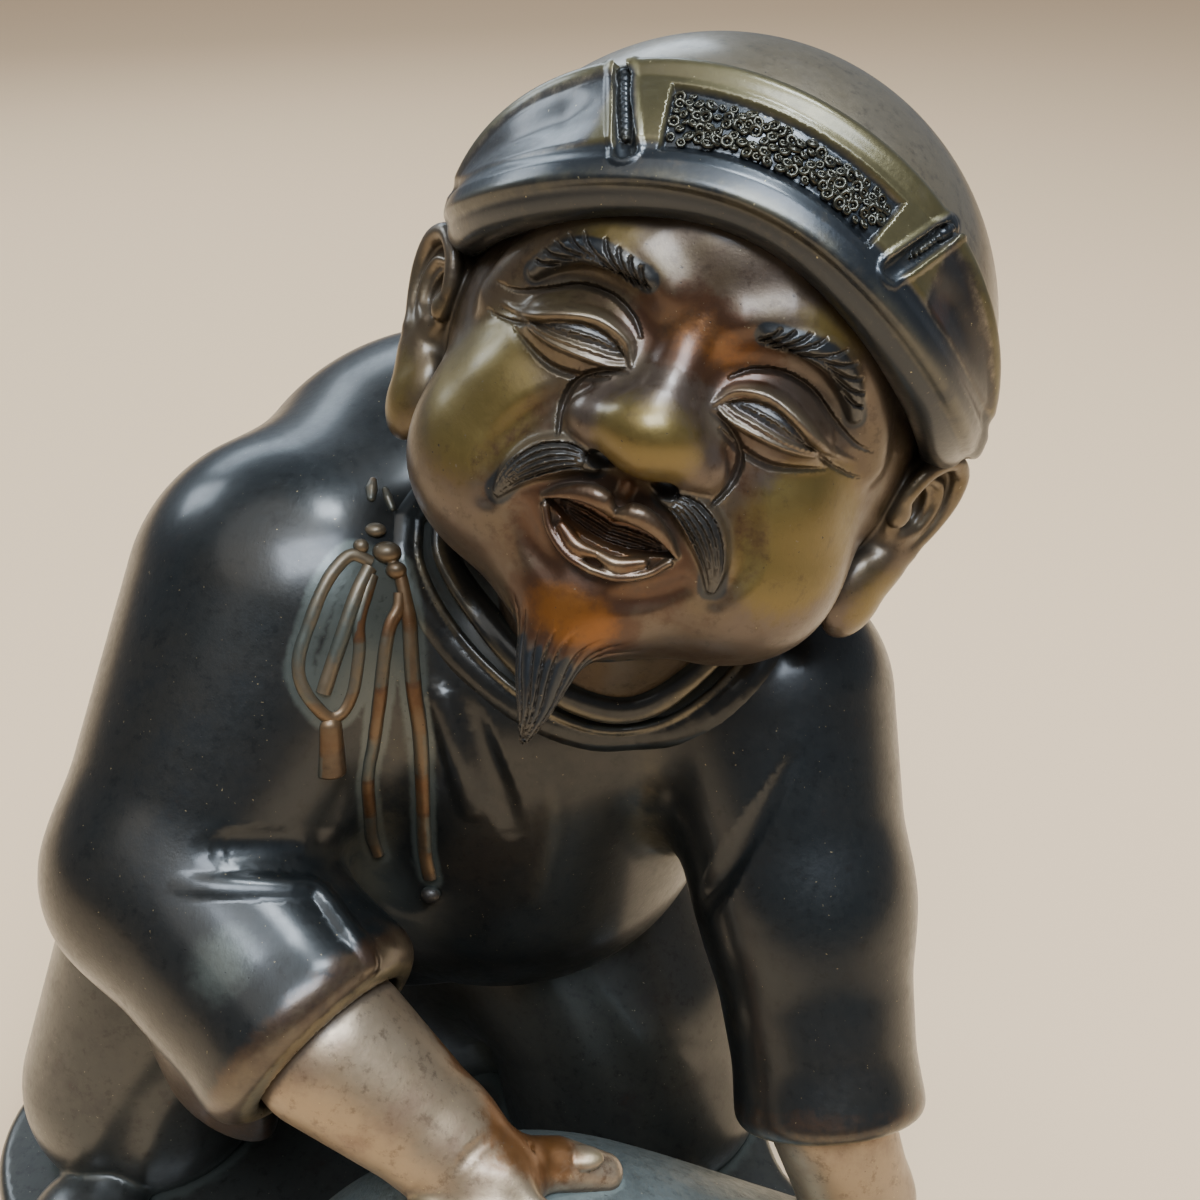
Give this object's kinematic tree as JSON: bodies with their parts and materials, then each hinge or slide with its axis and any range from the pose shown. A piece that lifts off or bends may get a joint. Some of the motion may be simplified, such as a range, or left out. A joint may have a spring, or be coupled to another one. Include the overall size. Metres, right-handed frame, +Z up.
{
  "type": "cast bronze figurine",
  "caption": "Cast bronze figurine of a stooping folk lucky god in a puffed cap and wide-sleeved robe, leaning with both hands on a full tied sack, on a low free-form ground.",
  "frame": {"origin": "on the flat underside of the low ground, below the middle of the casting", "axes": "+Z up; -Y the way the figure faces, towards the viewer; +X towards the figure's left hand and the sack's tied mouth"},
  "size_m": [0.2332, 0.2269, 0.2572],
  "materials": {
    "bronze": "dark patinated bronze, rubbed bright brown and gold on the raised places"
  },
  "bodies": {
    "root": {"figure": "bronze"}
  },
  "joints": []
}
